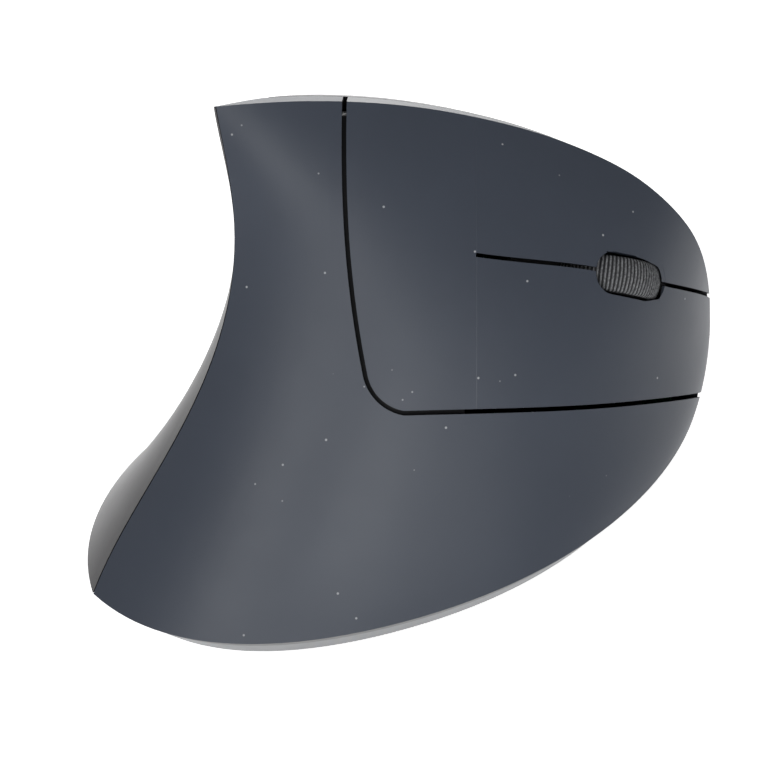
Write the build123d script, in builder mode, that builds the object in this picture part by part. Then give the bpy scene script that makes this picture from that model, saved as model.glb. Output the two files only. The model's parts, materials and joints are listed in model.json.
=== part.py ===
"""Vertical ergonomic mouse, right-handed and wireless, as separate pieces.

Millimetres. +Y is the front, +X the finger side, +Z up. The origin is the middle of
the footprint, on the desk that the glide feet stand on.
"""
import os

from build123d import *

os.makedirs("parts", exist_ok=True)

# Overall size
body_length = 120.0
body_width = 76.0
body_height = 78.0
lip_height = 8.6
foot_height = 0.8
base_tuck = 6.2

# Walls and gaps
shell_wall = 2.4
base_wall = 2.2
shell_seam = 0.3
plate_gap = 0.8
slit_gap = 0.7
hinge_gap = 0.15
button_room = 0.7
key_lip_room = 0.5
seat_gap = 0.1
ledge_wall = 1.2
ledge_reach = 2.6
fit_gap = 0.05
slide_gap = 0.3
board_room = 1.5
overrun = 30.0

# Sections of the upper body, from the lip to above the top. Each row holds a height share,
# the rear corner, the finger side from rear to front, the front corner, and the thumb side
# from front to rear. Places are shares of the body's width and length.
section_shares = [
    (0.000, (0.163, -0.505), ((0.404, -0.370), (0.496, -0.100), (0.394, 0.185)),
     (-0.135, 0.488), ((-0.405, 0.365), (-0.495, 0.085), (-0.445, -0.230), (-0.195, -0.438))),
    (0.124, (0.072, -0.430), ((0.310, -0.306), (0.398, -0.074), (0.338, 0.175)),
     (-0.135, 0.502), ((-0.370, 0.375), (-0.420, 0.100), (-0.360, -0.160), (-0.145, -0.388))),
    (0.292, (0.000, -0.334), ((0.190, -0.234), (0.290, -0.042), (0.250, 0.182)),
     (-0.140, 0.505), ((-0.320, 0.382), (-0.340, 0.165), (-0.298, -0.080), (-0.120, -0.314))),
    (0.500, (-0.080, -0.245), ((0.063, -0.154), (0.158, -0.002), (0.126, 0.206)),
     (-0.145, 0.500), ((-0.290, 0.382), (-0.322, 0.190), (-0.300, -0.026), (-0.172, -0.226))),
    (0.736, (-0.167, -0.196), ((-0.070, -0.106), (-0.019, 0.014), (-0.051, 0.190)),
     (-0.230, 0.440), ((-0.315, 0.310), (-0.360, 0.142), (-0.354, -0.018), (-0.272, -0.150))),
    (1.067, (-0.316, -0.184), ((-0.303, -0.106), (-0.316, -0.010), (-0.354, 0.126)),
     (-0.442, 0.286), ((-0.468, 0.190), (-0.474, 0.062), (-0.442, -0.050), (-0.379, -0.134))),
]
# The line that parts the finger-side shell from the thumb shell, rear to front, per section
parting_shares = [
    ((0.000, -0.250), (-0.060, 0.050), (-0.110, 0.320)),
    ((0.000, -0.230), (-0.060, 0.050), (-0.110, 0.320)),
    ((-0.060, -0.200), (-0.120, 0.080), (-0.150, 0.320)),
    ((-0.140, -0.150), (-0.210, 0.080), (-0.190, 0.330)),
    ((-0.240, -0.120), (-0.300, 0.090), (-0.260, 0.300)),
    ((-0.410, -0.070), (-0.458, 0.070), (-0.458, 0.180)),
]
# The leaning strip along the top: place along the length, height across the lean
ridge_lean = 25.0
ridge_shares = [
    (-0.360, 1.036), (-0.186, 1.023), (-0.094, 1.005), (-0.005, 0.976), (0.072, 0.942),
    (0.190, 0.870), (0.256, 0.819), (0.332, 0.745), (0.384, 0.680), (0.417, 0.625),
    (0.445, 0.567), (0.465, 0.515), (0.490, 0.410), (0.504, 0.300), (0.510, 0.100),
]


def ring(row, inset):
    """Corner and side points of one section, moved inwards by the inset."""
    _, rear, finger, front, thumb = row
    points = [(x * body_width, y * body_length) for x, y in (rear, *finger, front, *thumb)]
    moved = []
    for index, (x, y) in enumerate(points):
        back, ahead = points[index - 1], points[(index + 1) % len(points)]
        along = Vector(ahead[0] - back[0], ahead[1] - back[1]).normalized()
        moved.append((x - along.Y * inset, y + along.X * inset))
    return moved


def section(row, inset, height):
    """One horizontal section: a finger side and a thumb side that meet at two corners."""
    points = ring(row, inset)
    with BuildSketch(Plane.XY.offset(height)) as face:
        with BuildLine():
            Spline(*points[:5])
            Spline(*points[4:], points[0])
        make_face()
    return face.sketch


def row_height(row):
    return lip_height + row[0] * (body_height - lip_height)


def ridge_form(drop):
    """Everything below the leaning top strip, lowered by the drop."""
    lean = Vector(1, 0, 0).rotate(Axis.Y, -ridge_lean)
    points = [(y * body_length, s * body_height - drop) for y, s in ridge_shares]
    with BuildPart() as form:
        with BuildSketch(Plane(origin=(0, 0, 0), x_dir=(0, 1, 0), z_dir=lean)):
            with BuildLine():
                top = Spline(*points)
                Polyline(top @ 1, (points[-1][0], -body_height), (-body_length, -body_height),
                         (-body_length, points[0][1]), top @ 0)
            make_face()
        extrude(amount=body_length, both=True)
    return form.part


def body_form(inset):
    """The upper body's outer form, drawn in on every side by the inset."""
    with BuildPart() as form:
        for row in section_shares:
            add(section(row, inset, row_height(row)))
        loft()
        add(ridge_form(inset), mode=Mode.INTERSECT)
    return form.part


def finger_half(rear_shift, front_shift):
    """The space on the finger side of the parting line, moved across at each end."""
    middle_shift = (rear_shift + front_shift) / 2
    with BuildPart() as form:
        for row, parting in zip(section_shares, parting_shares):
            rear_x, rear_y = row[1][0] * body_width + rear_shift, row[1][1] * body_length
            front_x, front_y = row[3][0] * body_width + front_shift, row[3][1] * body_length
            middle = [(x * body_width + middle_shift, y * body_length) for x, y in parting]
            with BuildSketch(Plane.XY.offset(row_height(row))):
                with BuildLine():
                    Spline((rear_x, rear_y), *middle, (front_x, front_y))
                    Polyline((front_x, front_y), (front_x, body_length), (body_width, body_length),
                             (body_width, -body_length), (rear_x, -body_length), (rear_x, rear_y))
                make_face()
        loft()
    return form.part


# The wheel's place on the finger face, as shares of width, length and height
wheel_place_shares = (0.0372, 0.3455, 0.5344)
wheel_turn, wheel_rise, wheel_slope = 26.8, 27.4, 35.5
# The plane that the seams of the finger face are drawn on, roughly square to the face
face_turn, face_rise, face_tip = 10.0, 38.0, 7.0

wheel_spot = Vector(
    wheel_place_shares[0] * body_width,
    wheel_place_shares[1] * body_length,
    wheel_place_shares[2] * body_height,
)
face_out = Vector(1, 0, 0).rotate(Axis.Y, -face_rise).rotate(Axis.Z, -face_turn)
face_along = Vector(0, 1, 0).rotate(Axis.Z, -face_turn).rotate(Axis((0, 0, 0), face_out), -face_tip)
face_plane = Plane(origin=wheel_spot, x_dir=face_along, z_dir=face_out)
wheel_out = Vector(1, 0, 0).rotate(Axis.Y, -wheel_rise).rotate(Axis.Z, wheel_turn)
wheel_along = Vector(0, 1, 0).rotate(Axis.Z, wheel_turn).rotate(Axis((0, 0, 0), wheel_out), -wheel_slope)
wheel_plane = Plane(origin=wheel_spot, x_dir=wheel_along, z_dir=wheel_out)

# Seams of the finger face on the face plane, in shares of the length: along, up
plate_rear_shares = [(-0.408, 0.400), (-0.412, 0.128), (-0.408, 0.042), (-0.398, -0.053), (-0.383, -0.142)]
plate_low_shares = [(-0.329, -0.1945), (-0.183, -0.191), (-0.073, -0.187), (0.106, -0.172), (0.250, -0.155)]
slit_shares = [(-0.300, 0.039), (-0.152, 0.019), (-0.065, 0.011), (0.053, -0.009), (0.106, -0.016), (0.250, -0.033)]
hinge_share = -0.2275
ledge_end_share = -0.244


def on_face(points, along=0.0, up=0.0):
    return [(x * body_length + along, y * body_length + up) for x, y in points]


def plate_prism(grow):
    """The button plate's outline, grown at the rear and below, carried through the body.

    Its top and front lie past the body.
    """
    with BuildPart() as prism:
        with BuildSketch(face_plane):
            with BuildLine():
                rear = Spline(*on_face(plate_rear_shares, along=-grow))
                low = Spline(*on_face(plate_low_shares, up=-grow))
                TangentArc(rear @ 1, low @ 0, tangent=rear % 1)
                Polyline(low @ 1, ((low @ 1).X, (rear @ 0).Y), rear @ 0)
            make_face()
        extrude(amount=body_length, both=True)
    return prism.part


def button_prism(side):
    """The half of the button plate in front of the hinge line, above or below the slit."""
    hinge = hinge_share * body_length + hinge_gap / 2
    far = body_length / 2
    with BuildPart() as prism:
        with BuildSketch(face_plane):
            with BuildLine():
                slit = Spline(*on_face(slit_shares, up=side * slit_gap / 2))
                Polyline(slit @ 1, ((slit @ 1).X, side * far), ((slit @ 0).X, side * far), slit @ 0)
            make_face()
            with Locations((hinge - body_length, 0)):
                Rectangle(2 * body_length, 2 * body_length, mode=Mode.SUBTRACT)
        extrude(amount=body_length, both=True)
    return prism.part


outer_form = body_form(0)
inner_form = body_form(shell_wall)
seat_form = body_form(shell_wall + seat_gap)
ledge_form = body_form(shell_wall + seat_gap + ledge_wall)
board_space = body_form(shell_wall + board_room)
finger_side = finger_half(shell_seam / 2, shell_seam / 2)


def slab(plane, at, size, low, high, mode=Mode.ADD):
    """A block on a plane: its middle, its length and width, and its two heights."""
    with BuildSketch(plane.offset(low)) as face:
        with Locations(at):
            Rectangle(*size)
    extrude(face.sketch, amount=high - low, mode=mode)


def rod(plane, at, radius, low, high, mode=Mode.ADD):
    """A round post, pin or hole on a plane, between two heights."""
    with BuildSketch(plane.offset(low)) as face:
        with Locations(at):
            Circle(radius)
    extrude(face.sketch, amount=high - low, mode=mode)


def on_floor(share):
    """A place on the floor from its shares of the width and length."""
    return (share[0] * body_width, share[1] * body_length)


# Screws
screw_radius, shell_screw_length = 1.0, 12.0
screw_head_radius, screw_head_height = 1.9, 1.2
socket_radius, socket_depth = 0.75, 0.6
small_screw_length = 4.0
small_floor = 0.6


def screw(plane, at, seat, length):
    """A pan-head screw whose head sits on the seat and whose shank runs up the plane's normal."""
    rod(plane, at, screw_head_radius, seat - screw_head_height, seat)
    rod(plane, at, screw_radius, seat, seat + length)
    rod(plane, at, socket_radius, seat - screw_head_height, seat - screw_head_height + socket_depth, Mode.SUBTRACT)


# Base: floor, feet and shell screws
floor_low = foot_height
floor_top = foot_height + base_wall
lip_inset = 0.4
post_radius = 3.0
shell_post_shares = {"finger": [(0.300, -0.190), (0.262, 0.150)], "thumb": [(-0.350, -0.050), (-0.312, 0.285)]}
shell_post_height = 16.0
foot_radius = 4.0
foot_shares = [(0.115, -0.385), (0.320, -0.010), (-0.345, 0.085), (-0.120, 0.385)]
floor = Plane.XY

# Cells, their bay and its door
cell_radius, cell_length = 5.25, 43.3
nub_radius, nub_length = 1.9, 1.2
cell_gap, bay_room, bay_wall, cell_edge = 0.6, 0.4, 1.2, 0.5
contact_thickness, contact_width, contact_height = 0.4, 8.6, 7.0
spring_length, spring_width, spring_leaf = 4.0, 5.0, 0.3
spring_spread = 3.2
door_thickness, door_rim, door_gap = 1.6, 1.2, 0.3
tab_width, tab_thickness, tab_reach, tab_spread = 1.8, 0.9, 1.0, 10.0
tab_lift = 0.4
tab_low = floor_top + tab_lift
latch_width, latch_thickness, latch_height = 8.0, 1.2, 1.6
grip_width, grip_length, grip_depth, grip_place = 12.0, 1.2, 0.5, 4.0
bay_shares = (0.042, -0.100)
bay_x, bay_y = on_floor(bay_shares)
bay_width = 4 * cell_radius + cell_gap + 2 * bay_room
bay_length = cell_length + nub_length + spring_length + 2 * contact_thickness
bay_rear, bay_front = bay_y - bay_length / 2, bay_y + bay_length / 2
door_top = floor_low + door_thickness
tab_rear = bay_front - door_gap - tab_thickness
tab_top = tab_low + tab_thickness
cell_height = door_top + bay_room + cell_radius
bay_top = cell_height + cell_radius + bay_room
cell_sides = {"left": -1, "right": 1}
cell_offset = cell_radius + cell_gap / 2
door_width, door_length = bay_width + 2 * door_rim, bay_length + 2 * door_rim

# Receiver and its well
receiver_body = (6.2, 14.4)
receiver_body_height = 6.6
receiver_plug = (4.5, 12.0)
receiver_plug_length = 12.0
well_room, well_wall, receiver_edge, plug_skin = 0.3, 1.2, 1.2, 0.35
well_shares = (-0.218, -0.042)
well_spot = on_floor(well_shares)
receiver_low = floor_low + well_room
receiver_shoulder = receiver_low + receiver_body_height
receiver_top = receiver_shoulder + receiver_plug_length
well_size = (receiver_body[0] + 2 * well_room, receiver_body[1] + 2 * well_room)
well_outer = (well_size[0] + 2 * well_wall, well_size[1] + 2 * well_wall)

# Main board, sensor and lens
board_thickness = 1.6
board_standoff = 5.0
main_board_low = floor_top + board_standoff
main_board_top = main_board_low + board_thickness
main_board_inset = 5.0
main_board_shares = ((-0.268, 0.145), (0.150, 0.420))
standoff_radius = 2.4
standoff_hole_low = floor_top + small_floor
standoff_shares = [(0.122, 0.170), (-0.220, 0.165), (-0.030, 0.350)]
sensor_shares = (0.045, 0.245)
sensor_spot = on_floor(sensor_shares)
sensor_size, sensor_height = (10.0, 11.0), 2.6
lens_size, lens_drum_radius, lens_drop = (11.0, 12.0), 3.2, 0.8
window_radius = 3.6
window_flare, window_flare_depth, flare_taper = (11.0, 13.0), 0.9, 35
controller_shares, controller_size, controller_height = (-0.045, 0.235), (7.0, 7.0), 1.0
radio_shares, radio_size, radio_height = (0.080, 0.340), (5.0, 5.0), 0.9

# Power switch
power_shares = (-0.235, 0.335)
power_spot = on_floor(power_shares)
power_body, power_body_height = (3.6, 8.6), 3.4
power_travel = 2.5
knob_size, knob_flange, knob_flange_height = (2.8, 4.6), (5.4, 8.0), 1.0
power_recess, power_recess_depth = (5.6, 11.0), 0.9
knob_recess = 0.3
knob_ridges, ridge_width = 3, 0.6

# Finger buttons, their switches and the wheel; heights are along the wheel's normal
wheel_radius, wheel_width, wheel_proud = 10.5, 6.2, 1.6
axle_depth = wheel_radius - wheel_proud
opening_length, opening_width = 16.0, 7.4
tyre_depth, hub_rim, hub_boss_radius, web_thickness = 2.3, 1.4, 2.2, 1.6
hub_radius = wheel_radius - tyre_depth
hub_hole_radius, hub_hole_count = 1.5, 5
wheel_room, tyre_crown, rib_count, rib_depth, rib_gap = 0.4, 0.8, 48, 0.45, 0.5
axle_radius, axle_reach, axle_tail = 1.0, 7.8, 5.2
wheel_travel = 0.6
arm_gap, arm_thickness = 0.4, 1.4
cradle_end_gap, cradle_bar = 0.6, 1.6
cradle_low, cradle_high = 2.1, 2.3
encoder_length, encoder_thickness, encoder_low, encoder_high = 11.0, 3.8, 2.2, 3.6
button_board_top = 12.6
frame_wall = 2.0
switch_body, switch_body_height = (12.8, 5.8), 5.6
plunger_size, plunger_stroke, plunger_root = (2.6, 1.4), 0.8, 0.6
plunger_shift = 2.4
switch_edge = 0.4
finger_switch_places = {"left": (-7.8, 12.0), "right": (-4.4, -10.6)}
tapper_size = (3.2, 2.0)
switch_top = button_board_top - switch_body_height
plunger_top = switch_top - plunger_stroke
tapper_low = plunger_top - fit_gap
opening_depth = 6.0
tact_size, tact_height, tact_plunger_radius, tact_plunger_stroke = 6.0, 3.4, 1.7, 0.8
middle_switch_place = -18.6
tongue_width, tongue_length = 3.4, 10.0
tongue_low = tact_height + tact_plunger_stroke + fit_gap - button_board_top
guide_size = 1.8
button_board_size = ((-23.0, -15.0), (15.5, 9.2))
button_board_wing = ((-15.0, 9.2), (8.0, 15.6))
leg_radius, peg_radius, peg_height, peg_seat = 2.5, 1.2, 2.0, 1.5
leg_shares = [(-0.030, 0.160), (-0.066, 0.308), (-0.132, 0.200)]
frame_screw_places = [(-20.0, -12.0), (-20.0, 6.0), (12.4, -12.0)]

# Thumb side: its own plane, and two side buttons and a speed button on it
side_place_shares = (-0.333, 0.117, 0.673)
side_lean, side_slope = 12.5, 24.0
side_button_length, side_button_width, side_button_gap = 15.6, 6.6, 1.6
side_button_proud, side_button_travel = 0.9, 0.6
speed_button_place, speed_button_size = (21.8, 0), (6.4, 4.2)
flange_rim, flange_thickness = 0.6, 1.0
side_flange_depth = 3.4
side_board_rect, side_board_wing = ((-12.4, -4.5), (25.5, 8.6)), ((17.5, -7.8), (25.5, -4.5))
side_board_thickness = 1.2
side_post_places = [(0, 6.4), (21.8, -5.6)]
side_post_radius = 1.9


def plate(plane, corners, low, high, mode=Mode.ADD):
    """A flat plate on a plane, from its two opposite corners."""
    (left, bottom), (right, top) = corners
    slab(plane, ((left + right) / 2, (bottom + top) / 2), (right - left, top - bottom), low, high, mode)


def shell_posts(side):
    """Screw posts that run down from one shell's wall to the lip."""
    with BuildPart() as posts:
        for share in shell_post_shares[side]:
            rod(floor, on_floor(share), post_radius, lip_height, lip_height + shell_post_height)
        add(outer_form, mode=Mode.INTERSECT)
    return posts.part


def cut_screw_holes(side):
    for share in shell_post_shares[side]:
        rod(floor, on_floor(share), screw_radius + fit_gap, lip_height, shell_screw_top + seat_gap, Mode.SUBTRACT)


shell_screw_seat = floor_top
shell_screw_top = shell_screw_seat + shell_screw_length

with BuildPart() as skin:
    add(outer_form)
    add(inner_form, mode=Mode.SUBTRACT)

# Finger-side shell, with the ledge that the button plate sits on
with BuildPart() as pocket:
    add(plate_prism(plate_gap / 2))
    add(seat_form, mode=Mode.SUBTRACT)

with BuildPart() as palm_shell:
    add(plate_prism(ledge_reach))
    add(plate_prism(-ledge_reach), mode=Mode.SUBTRACT)
    slab(face_plane, ((ledge_end_share - 1) * body_length, 0), (2 * body_length, 2 * body_length),
         -body_length, body_length, Mode.INTERSECT)
    add(ledge_form, mode=Mode.SUBTRACT)
    add(outer_form, mode=Mode.INTERSECT)
    add(skin.part)
    add(finger_side, mode=Mode.INTERSECT)
    add(shell_posts("finger"))
    add(pocket.part, mode=Mode.SUBTRACT)
    cut_screw_holes("finger")
palm_shell.part.label = "palm_shell"

# Button plate: a fixed strip at the rear, and two buttons that bend from it
with BuildPart() as plate_skin:
    add(skin.part)
    add(finger_side, mode=Mode.INTERSECT)
    add(plate_prism(-plate_gap / 2), mode=Mode.INTERSECT)

with BuildPart() as key_plate:
    add(plate_skin.part)
    slab(face_plane, (hinge_share * body_length - hinge_gap / 2 - body_length, 0),
         (2 * body_length, 2 * body_length), -body_length, body_length, Mode.INTERSECT)
key_plate.part.label = "key_plate"


axle_spot = wheel_plane.from_local_coords((0, 0, -axle_depth))
axle_plane = Plane(origin=axle_spot, x_dir=wheel_plane.x_dir, z_dir=wheel_plane.y_dir)
relief_side = wheel_width / 2 + wheel_room


def finger_button(side, name):
    """One finger button with the wheel's opening and the tapper that presses its switch."""
    switch_x, switch_y = finger_switch_places[name]
    with BuildPart() as button:
        slab(wheel_plane, (switch_x + plunger_shift, switch_y), tapper_size, -tapper_low, 0)
        add(plate_skin.part)
        add(outer_form, mode=Mode.INTERSECT)
        add(button_prism(side), mode=Mode.INTERSECT)
        with BuildSketch(wheel_plane.offset(-opening_depth)) as opening:
            SlotOverall(opening_length, opening_width)
        extrude(opening.sketch, amount=2 * opening_depth, mode=Mode.SUBTRACT)
        rod(axle_plane, (0, 0), wheel_radius + wheel_room, -relief_side, relief_side, Mode.SUBTRACT)
        slab(floor, (0, 0), (2 * body_width, 2 * body_length), 0, lip_height + key_lip_room, Mode.SUBTRACT)
    button.part.label = name + "_button"
    return button.part


left_button = finger_button(1, "left")
right_button = finger_button(-1, "right")

# Thumb-side shell
side_spot = Vector(
    side_place_shares[0] * body_width,
    side_place_shares[1] * body_length,
    side_place_shares[2] * body_height,
)
side_out = Vector(-1, 0, 0).rotate(Axis.Y, -side_lean)
side_along = Vector(0, -1, 0).rotate(Axis((0, 0, 0), side_out), side_slope)
side_plane = Plane(origin=side_spot, x_dir=side_along, z_dir=side_out)
side_reach = (side_button_length + side_button_gap) / 2
side_buttons = {
    "forward_button": ((-side_reach, 0), (side_button_length, side_button_width)),
    "back_button": ((side_reach, 0), (side_button_length, side_button_width)),
    "speed_button": (speed_button_place, speed_button_size),
}
side_board_top = side_flange_depth + flange_thickness + fit_gap + tact_plunger_stroke + tact_height
side_screw_top = side_board_top + side_board_thickness - small_screw_length


def side_key(name, grow, low, high):
    """The outline of one thumb-side button, carried between two depths."""
    place, (length, width) = side_buttons[name]
    with BuildPart() as key:
        with BuildSketch(side_plane.offset(low)):
            with Locations(place):
                SlotOverall(length + 2 * grow, width + 2 * grow)
        extrude(amount=high - low)
    return key.part


with BuildPart() as side_posts:
    for place in side_post_places:
        rod(side_plane, place, side_post_radius, -side_board_top, 0)
    add(outer_form, mode=Mode.INTERSECT)

with BuildPart() as thumb_shell:
    add(skin.part)
    add(finger_half(-shell_seam / 2, -button_room), mode=Mode.SUBTRACT)
    add(side_posts.part)
    for name in side_buttons:
        add(side_key(name, slide_gap, -side_flange_depth, overrun), mode=Mode.SUBTRACT)
        add(side_key(name, flange_rim + slide_gap, -side_board_top, -side_flange_depth), mode=Mode.SUBTRACT)
    for place in side_post_places:
        rod(side_plane, place, screw_radius + fit_gap, -side_board_top, seat_gap - side_screw_top, Mode.SUBTRACT)
    add(shell_posts("thumb"))
    cut_screw_holes("thumb")
thumb_shell.part.label = "thumb_shell"

# Thumb-side buttons, each with a flange behind the wall
proud_form = body_form(-side_button_proud)
pieces = [palm_shell.part, key_plate.part, left_button, right_button, thumb_shell.part]
for name in side_buttons:
    with BuildPart() as key:
        add(side_key(name, 0, -side_flange_depth - flange_thickness, overrun))
        add(proud_form, mode=Mode.INTERSECT)
        add(side_key(name, flange_rim, -side_flange_depth - flange_thickness, -side_flange_depth))
    key.part.label = name
    pieces.append(key.part)

# Base


def base_form(inset, low):
    """The base's tucked-in form above a height, drawn in by the inset."""
    lip = section(section_shares[0], lip_inset + inset, lip_height - shell_seam)
    sole = section(section_shares[0], base_tuck + inset, floor_low)
    with BuildPart() as form:
        add(sole)
        add(lip)
        loft()
        split(bisect_by=Plane.XY.offset(low), keep=Keep.TOP)
    return form.part


with BuildPart() as base_posts:
    for share in shell_post_shares["finger"] + shell_post_shares["thumb"]:
        rod(floor, on_floor(share), post_radius, floor_low, lip_height)
    for share in standoff_shares:
        rod(floor, on_floor(share), standoff_radius, floor_low, main_board_low)
    add(base_form(0, floor_low), mode=Mode.INTERSECT)

with BuildPart() as base_plate:
    add(base_form(0, floor_low))
    add(base_form(base_wall, floor_top), mode=Mode.SUBTRACT)
    slab(floor, (bay_x, bay_y), (bay_width + 2 * bay_wall, bay_length + 2 * bay_wall), floor_low, bay_top + bay_wall)
    slab(floor, (bay_x, bay_y), (bay_width, bay_length), floor_low, bay_top, Mode.SUBTRACT)
    slab(floor, (bay_x, bay_y), (door_width + 2 * door_gap, door_length + 2 * door_gap),
         floor_low, door_top + seat_gap, Mode.SUBTRACT)
    for side in (-1, 1):
        slab(floor, (bay_x + side * tab_spread, bay_front), (tab_width + 2 * door_gap, 2 * (bay_wall + tab_reach)),
             floor_top, tab_top + door_gap, Mode.SUBTRACT)
    slab(floor, well_spot, well_outer, floor_low, receiver_top + well_room + well_wall)
    slab(floor, well_spot, well_size, floor_low, receiver_top + well_room, Mode.SUBTRACT)
    add(base_posts.part)
    for share in shell_post_shares["finger"] + shell_post_shares["thumb"]:
        rod(floor, on_floor(share), screw_radius + fit_gap, floor_low, lip_height, Mode.SUBTRACT)
        rod(floor, on_floor(share), screw_head_radius + slide_gap, floor_low, shell_screw_seat, Mode.SUBTRACT)
    for share in standoff_shares:
        rod(floor, on_floor(share), screw_radius + fit_gap, standoff_hole_low, main_board_low, Mode.SUBTRACT)
    for share in leg_shares:
        rod(floor, on_floor(share), leg_radius, floor_low, floor_top + peg_seat)
        rod(floor, on_floor(share), peg_radius, floor_top, floor_top + peg_seat + peg_height)
    rod(floor, sensor_spot, window_radius, floor_low, floor_top, Mode.SUBTRACT)
    with BuildSketch(Plane.XY.offset(floor_low)) as flare:
        with Locations(sensor_spot):
            SlotOverall(window_flare[1], window_flare[0], rotation=90)
    extrude(flare.sketch, amount=window_flare_depth, taper=flare_taper, mode=Mode.SUBTRACT)
    slab(floor, power_spot, power_recess, floor_low, floor_low + power_recess_depth, Mode.SUBTRACT)
    slab(floor, power_spot, (knob_size[0] + 2 * slide_gap, knob_size[1] + power_travel + 2 * slide_gap),
         floor_low, floor_top, Mode.SUBTRACT)
base_plate.part.label = "base_plate"
pieces.append(base_plate.part)

with BuildPart() as glide_feet:
    for share in foot_shares:
        rod(floor, on_floor(share), foot_radius, 0, foot_height)
glide_feet.part.label = "glide_feet"
pieces.append(glide_feet.part)

with BuildPart() as shell_screws:
    for share in shell_post_shares["finger"] + shell_post_shares["thumb"]:
        screw(floor, on_floor(share), shell_screw_seat, shell_screw_length)
shell_screws.part.label = "shell_screws"
pieces.append(shell_screws.part)

# Battery door: a rimmed plate with two tabs at the front and a latch tongue at the rear
with BuildPart() as battery_door:
    slab(floor, (bay_x, bay_y), (door_width, door_length), floor_low, door_top)
    for side in (-1, 1):
        tab_x = bay_x + side * tab_spread
        slab(floor, (tab_x, tab_rear + tab_thickness / 2), (tab_width, tab_thickness), door_top, tab_top)
        slab(floor, (tab_x, (tab_rear + bay_front + tab_reach) / 2),
             (tab_width, bay_front + tab_reach - tab_rear), tab_low, tab_top)
    slab(floor, (bay_x, bay_rear + door_gap + latch_thickness / 2), (latch_width, latch_thickness), door_top,
         door_top + latch_height)
    slab(floor, (bay_x, bay_rear + grip_place), (grip_width, grip_length), floor_low, floor_low + grip_depth,
         Mode.SUBTRACT)
battery_door.part.label = "battery_door"
pieces.append(battery_door.part)

# Cells, lying side by side and pointing opposite ways, with their contacts and springs
for name, side in cell_sides.items():
    cell_x = bay_x + side * cell_offset
    nub_end = bay_y - side * (bay_length / 2 - contact_thickness)
    cell_plane = Plane(origin=(cell_x, nub_end, cell_height), x_dir=(1, 0, 0), z_dir=(0, side, 0))
    with BuildPart() as cell:
        rod(cell_plane, (0, 0), nub_radius, 0, nub_length)
        rod(cell_plane, (0, 0), cell_radius, nub_length, nub_length + cell_length)
        chamfer(cell.edges().filter_by(GeomType.CIRCLE).group_by(SortBy.RADIUS)[-1], cell_edge)
    cell.part.label = name + "_cell"
    pieces.append(cell.part)

with BuildPart() as cell_contacts:
    for side in cell_sides.values():
        for end in (-1, 1):
            contact_y = bay_y + end * (bay_length - contact_thickness) / 2
            slab(floor, (bay_x + side * cell_offset, contact_y), (contact_width, contact_thickness),
                 cell_height - contact_height / 2, cell_height + contact_height / 2)
cell_contacts.part.label = "cell_contacts"
pieces.append(cell_contacts.part)

with BuildPart() as cell_springs:
    for side in cell_sides.values():
        spring_end = bay_y + side * (bay_length / 2 - contact_thickness)
        leaf_plane = Plane(origin=(bay_x + side * cell_offset, spring_end, cell_height), x_dir=(0, 0, 1),
                           z_dir=(1, 0, 0))
        with BuildSketch(leaf_plane):
            with BuildLine():
                rise = side * spring_length
                inside = side * (spring_length - spring_leaf)
                outer_leaf = ThreePointArc((-spring_spread, 0), (0, rise), (spring_spread, 0))
                inner_leaf = ThreePointArc((spring_spread - spring_leaf, 0), (0, inside),
                                           (spring_leaf - spring_spread, 0))
                Line(outer_leaf @ 1, inner_leaf @ 0)
                Line(inner_leaf @ 1, outer_leaf @ 0)
            make_face()
        extrude(amount=spring_width / 2, both=True)
cell_springs.part.label = "cell_springs"
pieces.append(cell_springs.part)

# Receiver, stowed with its plug upwards
with BuildPart() as receiver_cap:
    slab(floor, well_spot, receiver_body, receiver_low, receiver_shoulder)
    fillet(receiver_cap.edges().filter_by(Axis.Z), receiver_edge)
receiver_cap.part.label = "receiver_body"
pieces.append(receiver_cap.part)

with BuildPart() as receiver_tip:
    slab(floor, well_spot, receiver_plug, receiver_shoulder, receiver_top)
    slab(floor, (well_spot[0] + plug_skin, well_spot[1]), (receiver_plug[0] - 2 * plug_skin, receiver_plug[1] - 2 * plug_skin),
         receiver_shoulder + plug_skin, receiver_top, Mode.SUBTRACT)
receiver_tip.part.label = "receiver_plug"
pieces.append(receiver_tip.part)

# Main board with its chips, sensor and lens
with BuildPart() as main_board:
    extrude(section(section_shares[0], main_board_inset, main_board_low), amount=board_thickness)
    plate(floor, [on_floor(corner) for corner in main_board_shares], main_board_low, main_board_top, Mode.INTERSECT)
    for share in leg_shares:
        rod(floor, on_floor(share), leg_radius + slide_gap, main_board_low, main_board_top, Mode.SUBTRACT)
    for share in standoff_shares:
        rod(floor, on_floor(share), screw_radius + fit_gap, main_board_low, main_board_top, Mode.SUBTRACT)
main_board.part.label = "main_board"
pieces.append(main_board.part)

upside_down = Plane(origin=(0, 0, 0), x_dir=(1, 0, 0), z_dir=(0, 0, -1))
with BuildPart() as main_board_screws:
    for x, y in [on_floor(share) for share in standoff_shares]:
        screw(upside_down, (x, -y), -main_board_top, small_screw_length)
main_board_screws.part.label = "main_board_screws"
pieces.append(main_board_screws.part)

for name, share, size, height in (
    ("controller_chip", controller_shares, controller_size, controller_height),
    ("radio_chip", radio_shares, radio_size, radio_height),
):
    with BuildPart() as chip:
        slab(floor, on_floor(share), size, main_board_top, main_board_top + height)
    chip.part.label = name
    pieces.append(chip.part)

with BuildPart() as optical_sensor:
    slab(floor, sensor_spot, sensor_size, main_board_low - sensor_height, main_board_low)
optical_sensor.part.label = "optical_sensor"
pieces.append(optical_sensor.part)

with BuildPart() as sensor_lens:
    slab(floor, sensor_spot, lens_size, floor_top, main_board_low - sensor_height)
    rod(floor, sensor_spot, lens_drum_radius, floor_top - lens_drop, floor_top)
sensor_lens.part.label = "sensor_lens"
pieces.append(sensor_lens.part)

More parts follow.
